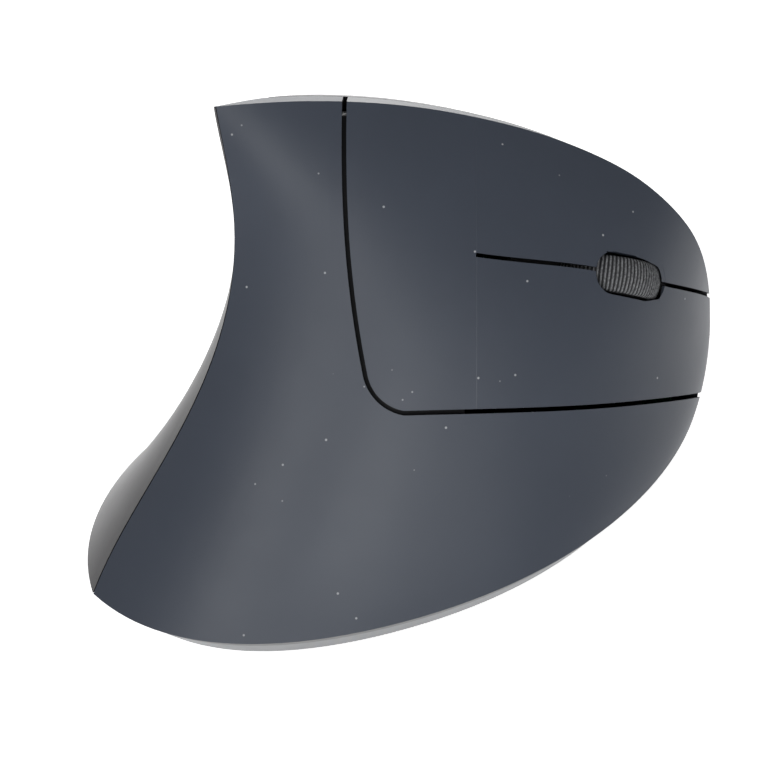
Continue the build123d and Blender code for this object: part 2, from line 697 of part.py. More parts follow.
# Power switch under the main board, and the knob that moves it
with BuildPart() as power_switch:
    slab(floor, power_spot, power_body, main_board_low - power_body_height, main_board_low)
power_switch.part.label = "power_switch"
pieces.append(power_switch.part)

knob_spot = (power_spot[0], power_spot[1] - power_travel / 2)
with BuildPart() as power_knob:
    slab(floor, knob_spot, knob_size, floor_low + knob_recess, main_board_low - power_body_height - seat_gap)
    slab(floor, knob_spot, knob_flange, floor_top + seat_gap, floor_top + seat_gap + knob_flange_height)
    for index in range(knob_ridges):
        ridge_y = knob_spot[1] + (index - (knob_ridges - 1) / 2) * 2 * ridge_width
        slab(floor, (knob_spot[0], ridge_y), (knob_size[0], ridge_width), floor_low + knob_recess,
             floor_low + knob_recess + ridge_width / 2, Mode.SUBTRACT)
power_knob.part.label = "power_knob"
pieces.append(power_knob.part)

# Inner frame: a sloping deck on three legs, with guides for the wheel cradle
board_top = -button_board_top
deck_top = board_top - board_thickness
deck_low = deck_top - frame_wall
cradle_inner = wheel_radius + cradle_end_gap
cradle_outer = cradle_inner + cradle_bar
arm_inner = wheel_width / 2 + arm_gap
arm_outer = arm_inner + arm_thickness
guide_x = cradle_outer + seat_gap + guide_size / 2
guide_y = arm_outer - guide_size / 2
guide_places = [(x, y) for x in (-guide_x, guide_x) for y in (-guide_y, guide_y)]
wheel_slot = (2 * (wheel_radius + slide_gap), wheel_width + 2 * arm_gap)

with BuildPart() as frame_space:
    add(board_space)
    extrude(section(section_shares[0], main_board_inset, floor_low), amount=lip_height)

with BuildPart() as leg_posts:
    for share in leg_shares:
        rod(floor, on_floor(share), leg_radius, floor_top + peg_seat, body_height)
        rod(floor, on_floor(share), peg_radius + fit_gap, floor_top + peg_seat, floor_top + peg_seat + peg_height + seat_gap,
            Mode.SUBTRACT)
    split(bisect_by=wheel_plane.offset(deck_top), keep=Keep.BOTTOM)

with BuildPart() as inner_frame:
    plate(wheel_plane, button_board_size, deck_low, deck_top)
    plate(wheel_plane, button_board_wing, deck_low, deck_top)
    slab(wheel_plane, (0, 0), wheel_slot, deck_low, deck_top, Mode.SUBTRACT)
    for place in guide_places:
        slab(wheel_plane, place, (guide_size, guide_size), deck_low, cradle_high - axle_depth)
    add(leg_posts.part)
    for place in frame_screw_places:
        rod(wheel_plane, place, screw_radius + fit_gap, deck_low, deck_top, Mode.SUBTRACT)
    add(frame_space.part, mode=Mode.INTERSECT)
inner_frame.part.label = "inner_frame"
pieces.append(inner_frame.part)

with BuildPart() as button_board:
    plate(wheel_plane, button_board_size, deck_top, board_top)
    plate(wheel_plane, button_board_wing, deck_top, board_top)
    slab(wheel_plane, (0, 0), wheel_slot, deck_top, board_top, Mode.SUBTRACT)
    for place in guide_places:
        slab(wheel_plane, place, (guide_size + 2 * slide_gap, guide_size + 2 * slide_gap), deck_top, board_top, Mode.SUBTRACT)
    for place in frame_screw_places:
        rod(wheel_plane, place, screw_radius + fit_gap, deck_top, board_top, Mode.SUBTRACT)
    add(board_space, mode=Mode.INTERSECT)
button_board.part.label = "button_board"
pieces.append(button_board.part)

board_below = Plane(origin=wheel_spot, x_dir=wheel_along, z_dir=-wheel_out)
with BuildPart() as button_board_screws:
    for x, y in frame_screw_places:
        screw(board_below, (x, -y), button_board_top, small_screw_length)
button_board_screws.part.label = "button_board_screws"
pieces.append(button_board_screws.part)

plunger_well = plunger_root + plunger_stroke


def tact_switch(plane, place, low, plunger_end, name):
    """A square switch that stands on a board, and the round plunger that slides in its well."""
    top = low + tact_height
    with BuildPart() as switch:
        slab(plane, place, (tact_size, tact_size), low, top)
        rod(plane, place, tact_plunger_radius + fit_gap, top - plunger_well, top, Mode.SUBTRACT)
    switch.part.label = name + "_switch"
    with BuildPart() as plunger:
        rod(plane, place, tact_plunger_radius, top - plunger_root, plunger_end)
    plunger.part.label = name + "_plunger"
    return [switch.part, plunger.part]


# Finger switches: a long body with a small plunger off its middle
for name, (switch_x, switch_y) in finger_switch_places.items():
    with BuildPart() as switch:
        slab(wheel_plane, (switch_x, switch_y), switch_body, board_top, -switch_top)
        chamfer(switch.edges().group_by(SortBy.LENGTH)[0], switch_edge)
        slab(wheel_plane, (switch_x + plunger_shift, switch_y),
             (plunger_size[0] + 2 * fit_gap, plunger_size[1] + 2 * fit_gap),
             -switch_top - plunger_well, -switch_top, Mode.SUBTRACT)
    switch.part.label = name + "_switch"
    with BuildPart() as plunger:
        slab(wheel_plane, (switch_x + plunger_shift, switch_y), plunger_size, -switch_top - plunger_root, -plunger_top)
    plunger.part.label = name + "_plunger"
    pieces += [switch.part, plunger.part]

pieces += tact_switch(wheel_plane, (middle_switch_place, 0), board_top, tongue_low - fit_gap, "middle")

# Wheel: axle, spoked hub and ribbed tyre
tyre_plane = Plane(origin=axle_spot, x_dir=wheel_plane.z_dir, z_dir=-wheel_plane.x_dir)
with BuildPart() as wheel_axle:
    rod(axle_plane, (0, 0), axle_radius, -axle_tail, axle_reach)
wheel_axle.part.label = "wheel_axle"

with BuildPart() as wheel_hub:
    rod(axle_plane, (0, 0), hub_radius, -wheel_width / 2, wheel_width / 2)
    for side in (-1, 1):
        with BuildSketch(axle_plane.offset(side * wheel_width / 2)) as dish:
            Circle(hub_radius - hub_rim)
            Circle(hub_boss_radius, mode=Mode.SUBTRACT)
        extrude(dish.sketch, amount=-side * (wheel_width - web_thickness) / 2, mode=Mode.SUBTRACT)
    with BuildSketch(axle_plane) as holes:
        with PolarLocations((hub_radius - hub_rim + hub_boss_radius) / 2, hub_hole_count):
            Circle(hub_hole_radius)
        Circle(axle_radius + fit_gap)
    extrude(holes.sketch, amount=wheel_width, both=True, mode=Mode.SUBTRACT)
wheel_hub.part.label = "wheel_hub"

with BuildPart() as wheel_tyre:
    with BuildSketch(tyre_plane):
        with BuildLine():
            half = wheel_width / 2
            shoulder = wheel_radius - tyre_crown
            crown = ThreePointArc((shoulder, -half), (wheel_radius, 0), (shoulder, half))
            Polyline(crown @ 1, (hub_radius + fit_gap, half), (hub_radius + fit_gap, -half), crown @ 0)
        make_face()
    revolve(axis=Axis(axle_spot, wheel_plane.y_dir))
    with BuildSketch(axle_plane) as grooves:
        with PolarLocations(wheel_radius, rib_count):
            Rectangle(2 * rib_depth, rib_gap)
    extrude(grooves.sketch, amount=wheel_width, both=True, mode=Mode.SUBTRACT)
wheel_tyre.part.label = "wheel_tyre"
pieces += [wheel_axle.part, wheel_hub.part, wheel_tyre.part]

# Cradle that carries the wheel and presses the middle switch, and the encoder on its side
cradle_bottom = -axle_depth - cradle_low
cradle_top = -axle_depth + cradle_high
with BuildPart() as wheel_cradle:
    slab(wheel_plane, (0, 0), (2 * cradle_outer, 2 * arm_outer), cradle_bottom, cradle_top)
    slab(wheel_plane, (0, 0), (2 * cradle_inner, 2 * arm_inner), cradle_bottom, cradle_top, Mode.SUBTRACT)
    slab(wheel_plane, (-cradle_inner - tongue_length / 2, 0), (tongue_length, tongue_width), tongue_low, cradle_top)
    rod(axle_plane, (0, 0), axle_radius + fit_gap, -axle_tail - overrun, axle_tail + overrun, Mode.SUBTRACT)
    add(board_space, mode=Mode.INTERSECT)
wheel_cradle.part.label = "wheel_cradle"

with BuildPart() as wheel_encoder:
    slab(wheel_plane, (0, arm_outer + encoder_thickness / 2), (encoder_length, encoder_thickness),
         -axle_depth - encoder_low, -axle_depth + encoder_high)
    rod(axle_plane, (0, 0), axle_radius + fit_gap, 0, overrun, Mode.SUBTRACT)
wheel_encoder.part.label = "wheel_encoder"
pieces += [wheel_cradle.part, wheel_encoder.part]

# Thumb-side board, its switches and screws; depths run inwards from the shell
with BuildPart() as side_board:
    plate(side_plane, side_board_rect, -side_board_top - side_board_thickness, -side_board_top)
    plate(side_plane, side_board_wing, -side_board_top - side_board_thickness, -side_board_top)
    for place in side_post_places:
        rod(side_plane, place, screw_radius + fit_gap, -side_board_top - side_board_thickness, -side_board_top, Mode.SUBTRACT)
    add(board_space, mode=Mode.INTERSECT)
side_board.part.label = "side_board"
pieces.append(side_board.part)

with BuildPart() as side_board_screws:
    for place in side_post_places:
        screw(side_plane, place, -side_board_top - side_board_thickness, small_screw_length)
side_board_screws.part.label = "side_board_screws"
pieces.append(side_board_screws.part)

side_plunger_end = -side_flange_depth - flange_thickness - fit_gap
for name, (place, _) in side_buttons.items():
    pieces += tact_switch(side_plane, place, -side_board_top, side_plunger_end, name.split("_")[0])

for piece in pieces:
    export_step(piece, "parts/" + piece.label + ".step")
    print(piece.label, "solids", len(piece.solids()), "volume", round(piece.volume, 1), piece.is_valid)
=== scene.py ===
# %% [markdown]
# Vertical mouse: from its measured frame to a finished picture.
# The CAD model gives every piece its true shape and place. This lesson loads it, sets up the
# camera, gives each piece the surface that it has on the real mouse, and ends with the light.
# Where a surface needs more shape than the CAD holds, such as the ribs of the wheel's tyre, a
# finer piece is made here and takes the plain one's place.

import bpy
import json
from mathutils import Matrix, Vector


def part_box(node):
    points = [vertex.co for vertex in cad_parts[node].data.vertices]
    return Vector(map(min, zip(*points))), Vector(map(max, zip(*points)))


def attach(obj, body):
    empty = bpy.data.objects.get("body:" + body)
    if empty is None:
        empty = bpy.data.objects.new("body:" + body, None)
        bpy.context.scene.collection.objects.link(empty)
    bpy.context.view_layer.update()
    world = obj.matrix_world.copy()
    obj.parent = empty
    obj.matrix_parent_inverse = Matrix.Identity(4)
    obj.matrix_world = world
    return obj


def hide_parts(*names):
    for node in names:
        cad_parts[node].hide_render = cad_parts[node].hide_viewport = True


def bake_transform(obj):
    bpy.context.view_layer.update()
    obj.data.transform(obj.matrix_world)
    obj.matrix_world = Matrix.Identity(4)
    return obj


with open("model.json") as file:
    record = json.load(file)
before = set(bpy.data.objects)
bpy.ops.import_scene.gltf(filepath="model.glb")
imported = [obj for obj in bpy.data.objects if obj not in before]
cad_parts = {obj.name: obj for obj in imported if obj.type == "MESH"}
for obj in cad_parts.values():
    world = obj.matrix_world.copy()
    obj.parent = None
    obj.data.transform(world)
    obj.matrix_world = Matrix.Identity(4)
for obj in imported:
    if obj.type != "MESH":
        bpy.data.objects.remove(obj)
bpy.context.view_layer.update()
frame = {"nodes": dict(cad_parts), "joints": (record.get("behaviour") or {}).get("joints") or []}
nodes = frame["nodes"]

# %% Modules
import json
import math

import bmesh
import bpy
import numpy as np
from mathutils import Matrix, Vector
from mathutils.bvhtree import BVHTree

scene = bpy.context.scene
mm = 0.001

# %% [markdown]
# The camera comes first, because every later choice is judged through it. The mouse stands on a
# table and is seen from its finger side, 38 degrees above the table, from a little behind the
# square-on direction, with the camera rolled by 7 degrees. A long lens keeps the
# perspective as mild as it is in a product photograph.

# %% Camera
photo_size = 764
camera_turn, camera_rise, camera_roll = math.radians(10.0), math.radians(38.0), math.radians(7.0)
camera_distance = 420 * mm
picture_scale = 0.173 * mm
sensor_width = 36.0
nearest_seen, farthest_seen = 0.01, 20.0
target = Vector((1.9, -4.1, 31.0)) * mm

back = Vector((math.cos(camera_turn) * math.cos(camera_rise),
               -math.sin(camera_turn) * math.cos(camera_rise), math.sin(camera_rise)))
level = Vector((math.sin(camera_turn), math.cos(camera_turn), 0.0))
upright = back.cross(level)
right = level * math.cos(camera_roll) - upright * math.sin(camera_roll)
up = level * math.sin(camera_roll) + upright * math.cos(camera_roll)

camera_data = bpy.data.cameras.new("camera")
camera_data.sensor_width = sensor_width
camera_data.lens = sensor_width * camera_distance / (picture_scale * photo_size)
camera_data.clip_start, camera_data.clip_end = nearest_seen, farthest_seen
camera = bpy.data.objects.new("camera", camera_data)
scene.collection.objects.link(camera)
camera.matrix_world = Matrix.Translation(target + back * camera_distance) @ Matrix((
    (right.x, up.x, back.x), (right.y, up.y, back.y), (right.z, up.z, back.z))).to_4x4()
scene.camera = camera
scene.view_settings.view_transform = "Standard"
print("lens", round(camera_data.lens, 1), "mm")

# %% [markdown]
# A material in Blender is a small graph of nodes. A few helpers keep the graphs short: one makes
# a material with its shader, one adds a node and plugs in what is passed to it by name, and one
# joins two sockets.

# %% Node helpers
def new_material(name, **sockets):
    """A material with one Principled shader, and the values of the shader's own sockets."""
    material = bpy.data.materials.new(name)
    material.use_nodes = True
    shader = material.node_tree.nodes["Principled BSDF"]
    for socket, value in sockets.items():
        shader.inputs[socket.replace("_", " ")].default_value = value
    return material, shader


def add_node(material, kind, settings=(), **inputs):
    """A node with its settings; inputs are values or the output sockets that feed them."""
    node = material.node_tree.nodes.new(kind)
    for key, value in dict(settings).items():
        setattr(node, key, value)
    for key, value in inputs.items():
        index = int(key[5:]) if key.startswith("slot_") else key.replace("_", " ")
        if isinstance(value, bpy.types.NodeSocket):
            material.node_tree.links.new(value, node.inputs[index])
        else:
            node.inputs[index].default_value = value
    return node


def plug(material, output, target_socket):
    material.node_tree.links.new(output, target_socket)


# %% [markdown]
# Most surfaces here are made in the same way. A pattern is laid out by the place on the piece,
# so it stays with the piece when that moves, and then it is read as a mix of two colours or as a
# range of numbers. Each of those steps gets a short name too.

# %% Patterns, ranges and colours
def object_place(material):
    """The point of the surface, in metres of the piece's own directions."""
    return add_node(material, "ShaderNodeTexCoord").outputs["Object"]


def noise(material, place, scale, detail=2.0, **inputs):
    """Soft noise, with about one spot to 1/scale of a metre."""
    return add_node(material, "ShaderNodeTexNoise", Vector=place, Scale=scale, Detail=detail,
                    **inputs).outputs["Fac"]


def number_range(material, share, low, high, **ends):
    """Turns a share from 0 to 1, or between the given ends, into a number from low to high."""
    return add_node(material, "ShaderNodeMapRange", Value=share, To_Min=low, To_Max=high,
                    **ends).outputs["Result"]


def two_tones(material, share, low, high, stops=(0.0, 1.0)):
    """Turns a share into a mix of two colours, which are pure outside the two stops."""
    ramp = add_node(material, "ShaderNodeValToRGB", Fac=share)
    for element, stop, colour in zip(ramp.color_ramp.elements, stops, (low, high)):
        element.position, element.color = stop, colour
    return ramp.outputs["Color"]


def opaque(colour, factor=1.0):
    """A colour made darker or paler by a factor, with its fourth number."""
    return [c * factor for c in colour] + [1.0]


# %% [markdown]
# The last helpers combine what the patterns give: two numbers into one, two colours into a mix,
# a height into a bump. What comes out goes into the shader's colour, roughness and normal.

# %% Combining and finishing
def calculate(material, operation, first, second):
    return add_node(material, "ShaderNodeMath", {"operation": operation}, slot_0=first,
                    slot_1=second).outputs["Value"]


def mix_colours(material, share, first, second):
    return add_node(material, "ShaderNodeMix", {"data_type": "RGBA"}, slot_0=share, slot_6=first,
                    slot_7=second).outputs[2]


def bump_from(material, height, strength, depth):
    return add_node(material, "ShaderNodeBump", Height=height, Strength=strength,
                    Distance=depth).outputs["Normal"]


def finish_surface(material, shader, colour, roughness, normal=None):
    plug(material, colour, shader.inputs["Base Color"])
    plug(material, roughness, shader.inputs["Roughness"])
    if normal is not None:
        plug(material, normal, shader.inputs["Normal"])
    return material


# %% [markdown]
# The soft coating holds lint. Voronoi cells scatter points evenly over the surface, and a dot
# is shown only close to a cell's point, and only in the few cells whose random number is high.

# %% Dust
dust_cells, speck_core, speck_edge = 300.0, 0.040, 0.075
dust_colour, dust_roughness = (0.42, 0.43, 0.45, 1.0), 0.9


def add_dust(material, place, tint, rough, share):
    """Mixes sparse pale specks into the colour and makes them dull."""
    cells = add_node(material, "ShaderNodeTexVoronoi", Vector=place, Scale=dust_cells)
    near = number_range(material, cells.outputs["Distance"], 1.0, 0.0,
                        From_Min=speck_core, From_Max=speck_edge)
    number = add_node(material, "ShaderNodeSeparateColor", Color=cells.outputs["Color"])
    chosen = calculate(material, "GREATER_THAN", number.outputs["Red"], 1.0 - share)
    speck = calculate(material, "MULTIPLY", near, chosen)
    dull = add_node(material, "ShaderNodeMix", {"data_type": "FLOAT"}, slot_0=speck,
                    slot_2=rough, slot_3=dust_roughness)
    return mix_colours(material, speck, tint, dust_colour), dull.outputs[0]


# %% [markdown]
# Moulded plastic and rubber are never one flat colour. A fine grain from the mould scatters
# the light, the colour drifts a little from place to place, and handling polishes some patches
# more than others. The next helper builds that in three layers of noise: grain for the bump,
# drift for the colour, and patches for the roughness.

# %% Grain, drift and patches
drift_spots, drift_detail, drift_falloff, drift_stops = 55.0, 4.0, 0.6, (0.35, 0.65)
wear_spots, wear_detail, wear_low, wear_high = 160.0, 3.0, 0.3, 0.7
grain_strength = 0.6


def moulded(name, colour, roughness, grain=0.22 * mm, grain_depth=0.012 * mm, drift=0.10,
            dust=0.0, wear=0.04, **sockets):
    """A moulded surface: fine grain, slow drift of colour, patches of wear, and maybe dust."""
    material, shader = new_material(name, **sockets)
    place = object_place(material)
    slow = noise(material, place, drift_spots, drift_detail, Roughness=drift_falloff)
    tint = two_tones(material, slow, opaque(colour, 1 - drift), opaque(colour, 1 + drift),
                     drift_stops)
    patches = noise(material, place, wear_spots, wear_detail)
    rough = number_range(material, patches, roughness - wear, roughness + wear,
                         From_Min=wear_low, From_Max=wear_high)
    if dust:
        tint, rough = add_dust(material, place, tint, rough, dust)
    fine = noise(material, place, 1.0 / grain)
    return finish_surface(material, shader, tint, rough,
                          bump_from(material, fine, grain_strength, grain_depth))


# %% [markdown]
# Some surfaces change colour from one place to the next: the base is painted dark close under
# the shell's lip, a painted shade, and the painted highlight of the strip on the ridge runs out
# into the coating. One helper turns a coordinate into a mix of two colours.

# %% Fade along a direction
def fade_to(material, direction, start, stop, colour):
    """Mixes another colour into the surface between two places along X, Y or Z."""
    shader = material.node_tree.nodes["Principled BSDF"]
    tint = shader.inputs["Base Color"].links[0].from_socket
    parts = add_node(material, "ShaderNodeSeparateXYZ", Vector=object_place(material))
    share = number_range(material, parts.outputs[direction], 0.0, 1.0,
                         From_Min=start, From_Max=stop)
    plug(material, mix_colours(material, share, tint, opaque(colour)), shader.inputs["Base Color"])


# %% [markdown]
# The finger side has a soft-touch coating: rubber-like, nearly matt, dark grey with a touch of
# blue. A little sheen lifts its edges, as the fine texture of the real coating does. The walls of
# the seams are painted near-black, a painted shade for the dark inside the narrow seams. The
# narrow strip where the key plate wraps over to the thumb side is a satin whose paler colour is a
# painted highlight, and toward the front that highlight runs out into the coating.

# %% Soft-touch coating
coating_colour = (0.047, 0.057, 0.079)
strip_fade_start, strip_fade_stop = 8.0 * mm, 15.0 * mm
soft_touch = moulded("soft_touch", coating_colour, 0.45, drift=0.03, dust=0.32, wear=0.012,
                     Sheen_Weight=0.05, Sheen_Roughness=0.5, Specular_IOR_Level=0.5)
# Near-black painted shade for the walls of the seams, the ledge and the rims.
painted_seam_shade = moulded("painted_seam_shade", (0.006, 0.006, 0.008), 0.60, drift=0.05,
                       Specular_IOR_Level=0.2)
# A satin whose paler colour is a painted highlight on the strip over the ridge.
painted_strip_highlight = moulded("painted_strip_highlight", (0.120, 0.126, 0.140), 0.40, grain_depth=0.004 * mm,
                     drift=0.03, wear=0.012)
# The painted highlight runs out into the coating toward the front.
fade_to(painted_strip_highlight, "Y", strip_fade_start, strip_fade_stop, coating_colour)
for material in (soft_touch, painted_seam_shade, painted_strip_highlight):
    print("made", material.name)

# %% [markdown]
# The thumb shell is bare satin plastic. It is smoother than the coating, so it shows the long
# soft gradient of the studio lamp. The base and the battery door are a lighter grey of the
# same plastic, and the thumb keys a darker one. The base fades to a painted dark shade just
# below the shell's lip, which stands in for the shade that falls there.

# %% Satin plastics
# A painted shade for the base just below the shell's lip.
lip_shade_colour = (0.012, 0.012, 0.014)
lip_shade_start, lip_shade_stop = 5.8 * mm, 6.6 * mm
satin_thumb = moulded("satin_thumb", (0.112, 0.110, 0.114), 0.36, grain=0.15 * mm,
                      grain_depth=0.004 * mm, drift=0.03, wear=0.01)
satin_base = moulded("satin_base", (0.200, 0.208, 0.222), 0.40, grain=0.18 * mm,
                     grain_depth=0.006 * mm, drift=0.05, wear=0.02)
satin_door = moulded("satin_door", (0.205, 0.214, 0.230), 0.42, grain=0.18 * mm,
                     grain_depth=0.006 * mm, drift=0.05)
satin_key = moulded("satin_key", (0.045, 0.046, 0.052), 0.33, grain=0.15 * mm,
                    grain_depth=0.004 * mm, drift=0.06)
# The base darkens to the painted shade under the lip.
fade_to(satin_base, "Z", lip_shade_start, lip_shade_stop, lip_shade_colour)
for material in (satin_thumb, satin_base, satin_door, satin_key):
    print("made", material.name)

# %% [markdown]
# Inside are plain engineering plastics: a black frame and switch cases, pale plungers, a grey
# hub and low-friction feet. They use the same helper with their own grain.

# %% Plain plastics
black_frame = moulded("black_frame", (0.030, 0.030, 0.032), 0.50, grain=0.30 * mm)
switch_black = moulded("switch_black", (0.022, 0.022, 0.024), 0.38, grain=0.12 * mm,
                       grain_depth=0.003 * mm)
plunger_ivory = moulded("plunger_ivory", (0.74, 0.71, 0.62), 0.28, grain=0.20 * mm,
                        grain_depth=0.002 * mm, drift=0.03)
hub_grey = moulded("hub_grey", (0.090, 0.090, 0.096), 0.45, grain=0.20 * mm)
foot_sheet = moulded("foot_sheet", (0.028, 0.028, 0.030), 0.22, grain=0.40 * mm,
                     grain_depth=0.003 * mm)
knob_plastic = moulded("knob_plastic", (0.100, 0.100, 0.108), 0.42, grain=0.14 * mm)
chip_epoxy = moulded("chip_epoxy", (0.020, 0.020, 0.022), 0.55, grain=0.10 * mm)
receiver_black = moulded("receiver_black", (0.020, 0.020, 0.022), 0.30, grain=0.14 * mm,
                         grain_depth=0.003 * mm)

# %% [markdown]
# Metal differs from plastic in that its colour is in the reflection. Stretching the noise
# along one direction turns grain into the fine parallel lines of rolled or drawn steel.

# %% Steel
steel_darker, steel_paler = 0.88, 1.08
steel_smoother, steel_rougher = 0.06, 0.08
steel_bump, steel_bump_depth = 0.3, 0.004 * mm


def steel(name, colour, roughness, stretch):
    """Drawn or plated steel, with streaks along the direction of the smallest stretch."""
    material, shader = new_material(name, Metallic=1.0)
    along = add_node(material, "ShaderNodeMapping", Vector=object_place(material), Scale=stretch)
    lines = noise(material, along.outputs["Vector"], 1.0, 4.0)
    tint = two_tones(material, lines, opaque(colour, steel_darker), opaque(colour, steel_paler))
    rough = number_range(material, lines, roughness - steel_smoother, roughness + steel_rougher)
    return finish_surface(material, shader, tint, rough,
                          bump_from(material, lines, steel_bump, steel_bump_depth))


spring_steel = steel("spring_steel", (0.66, 0.66, 0.67), 0.28, (900.0, 900.0, 4000.0))
screw_steel = steel("screw_steel", (0.42, 0.42, 0.44), 0.34, (3000.0, 3000.0, 900.0))

# %% [markdown]
# A circuit board is glass fibre under green varnish. Copper tracks lift the varnish a little,
# so they read as paler green lines: a brick pattern, whose joints run square to each other,
# makes believable tracks without drawing one.

# %% Circuit board
varnish_green, varnish_dark = (0.012, 0.120, 0.050, 1.0), (0.010, 0.105, 0.046, 1.0)
track_green, track_scale, track_width = (0.040, 0.230, 0.090, 1.0), 420.0, 0.03
weave_scale, weave_waver = 1500.0, 0.6


def board_varnish():
    material, shader = new_material("board_varnish", Coat_Weight=0.5, Coat_Roughness=0.12)
    place = object_place(material)
    tracks = add_node(material, "ShaderNodeTexBrick", Vector=place, Scale=track_scale,
                      Color1=varnish_green, Color2=varnish_dark, Mortar=track_green,
                      Mortar_Size=track_width)
    weave = add_node(material, "ShaderNodeTexWave", Vector=place, Scale=weave_scale,
                     Distortion=weave_waver)
    return finish_surface(material, shader, tracks.outputs["Color"],
                          number_range(material, tracks.outputs["Fac"], 0.30, 0.42),
                          bump_from(material, weave.outputs["Fac"], 0.2, 0.004 * mm))


board_green = board_varnish()

# %% [markdown]
# The sensor's lens is clear moulded acrylic: faintly blue, with a haze that softens it from
# place to place.

# %% Lens
haze_spots = 700.0


def clear_lens():
    material, shader = new_material("clear_lens", Transmission_Weight=1.0, IOR=1.49)
    haze = noise(material, object_place(material), haze_spots)
    tint = two_tones(material, haze, (0.86, 0.90, 0.92, 1.0), (0.94, 0.96, 0.97, 1.0))
    return finish_surface(material, shader, tint, number_range(material, haze, 0.02, 0.10))


lens_acrylic = clear_lens()

# %% [markdown]
# Each cell wears a shrink sleeve: a plain dark blue body with a silver band at the nub end, and
# bare metal at the other. The bands are placed by the cell's own length.

# %% Cell sleeves
band_silver, sleeve_blue, end_metal = (0.72, 0.72, 0.73), (0.030, 0.060, 0.130), (0.70, 0.70, 0.71)
band_end, sleeve_end = 0.20, 0.985
scuff_spots, scuff_detail = 900.0, 3.0


def cell_sleeve(node, nub_end):
    """A sleeve whose pale band covers the fifth of the cell next to its nub."""
    low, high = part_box(node)
    material, shader = new_material("sleeve_" + node, Metallic=0.35, Coat_Weight=0.6,
                                    Coat_Roughness=0.08)
    place = object_place(material)
    along = add_node(material, "ShaderNodeSeparateXYZ", Vector=place)
    start, stop = (low.y, high.y) if nub_end < 0 else (high.y, low.y)
    share = number_range(material, along.outputs["Y"], 0.0, 1.0, From_Min=start, From_Max=stop)
    tint = two_tones(material, share, opaque(band_silver), opaque(sleeve_blue), (0.0, band_end))
    ramp = tint.node.color_ramp
    ramp.interpolation = "CONSTANT"
    ramp.elements.new(sleeve_end).color = opaque(end_metal)
    scuffs = noise(material, place, scuff_spots, scuff_detail)
    return finish_surface(material, shader, tint, number_range(material, scuffs, 0.18, 0.34))


sleeves = {name: cell_sleeve(name, nub_end)
           for name, nub_end in (("left_cell", 1), ("right_cell", -1))}

# %% [markdown]
# Now each CAD node gets its surface. The nodes keep their exact shape, so the seams, the key
# plate and the tucked base stay as they were measured.

# %% Give the nodes their materials
finishes = {
    soft_touch: ["palm_shell", "key_plate", "left_button", "right_button"],
    satin_thumb: ["thumb_shell"],
    satin_base: ["base_plate"],
    satin_door: ["battery_door"],
    satin_key: ["forward_button", "back_button", "speed_button"],
    black_frame: ["inner_frame", "wheel_cradle"],
    switch_black: ["left_switch", "right_switch", "middle_switch", "forward_switch",
                   "back_switch", "speed_switch", "power_switch", "wheel_encoder"],
    plunger_ivory: ["left_plunger", "right_plunger", "middle_plunger", "forward_plunger",
                    "back_plunger", "speed_plunger"],
    hub_grey: ["wheel_hub"],
    foot_sheet: ["glide_feet"],
    knob_plastic: ["power_knob"],
    chip_epoxy: ["controller_chip", "radio_chip", "optical_sensor"],
    receiver_black: ["receiver_body"],
    spring_steel: ["cell_contacts", "cell_springs", "receiver_plug"],
    screw_steel: ["shell_screws", "main_board_screws", "button_board_screws",
                  "side_board_screws", "wheel_axle"],
    board_green: ["main_board", "button_board", "side_board"],
    lens_acrylic: ["sensor_lens"],
    sleeves["left_cell"]: ["left_cell"],
    sleeves["right_cell"]: ["right_cell"],
}


def dress(piece, material):
    piece.data.materials.clear()
    piece.data.materials.append(material)


for material, names in finishes.items():
    for name in names:
        dress(nodes[name], material)
plain = sorted(set(nodes) - {name for names in finishes.values() for name in names})
print("nodes without a finish here", plain)

# %% [markdown]
# Which faces of a shell lie in shade? Those that look straight at another wall a few
# millimetres away: both sides of each seam, and the ledge under the key plate. A ray is sent
# out from a few points on each face, and a face whose ray is soon stopped gets the near-black
# painted shade. The faces only change their material number, so the measured shape stays as it is.

# %% Rays from the shells' faces
shells = ["palm_shell", "key_plate", "left_button", "right_button", "thumb_shell"]
wall_reach, skin_lift, pull_in = 3.0 * mm, 0.01 * mm, 0.15


def shell_trees():
    """One search tree for each shell, in the shared frame."""
    trees = {}
    for name in shells:
        data, matrix = nodes[name].data, nodes[name].matrix_world
        trees[name] = BVHTree.FromPolygons([matrix @ v.co for v in data.vertices],
                                           [p.vertices[:] for p in data.polygons])
    return trees


def faces_wall(name, polygon, trees):
    """Whether a ray from some point of the face is stopped by a shell within the reach."""
    matrix = nodes[name].matrix_world
    corners = [matrix @ nodes[name].data.vertices[i].co for i in polygon.vertices]
    middle = sum(corners, Vector()) / len(corners)
    out = (matrix.to_3x3() @ polygon.normal).normalized()
    for point in [middle] + [corner.lerp(middle, pull_in) for corner in corners]:
        for tree in trees.values():
            if tree.ray_cast(point + out * skin_lift, out, wall_reach)[0] is not None:
                return True
    return False


# %% [markdown]
# A shell's own finish is its first material, the near-black painted shade its second, and the
# strip's painted highlight, where there is one, its third. A face's material number says which of
# them it shows.

# %% Painted shade on the seams' walls
outer, painted_shade, painted_highlight = 0, 1, 2


def repaint(polygons, number):
    """Gives the faces another of their piece's materials, and says how many there are."""
    for polygon in polygons:
        polygon.material_index = number
    return len(polygons)


trees = shell_trees()
for name in shells:
    data = nodes[name].data
    data.materials.append(painted_seam_shade)
    # Faces that look at a near wall get the near-black painted shade.
    found = repaint([p for p in data.polygons if faces_wall(name, p, trees)], painted_shade)
    print(name, "bare faces", found, "of", len(data.polygons))

# %% [markdown]
# Where the rear seam crosses the ridge, a ray from the palm shell's wall can pass over the other
# shell. Up there, the wall is known by its direction: it faces forward along the mouse, and the
# skin never does. The seams were cut square to one view of the mouse, so that view's directions
# are written down first: out toward the eye, and along the mouse.

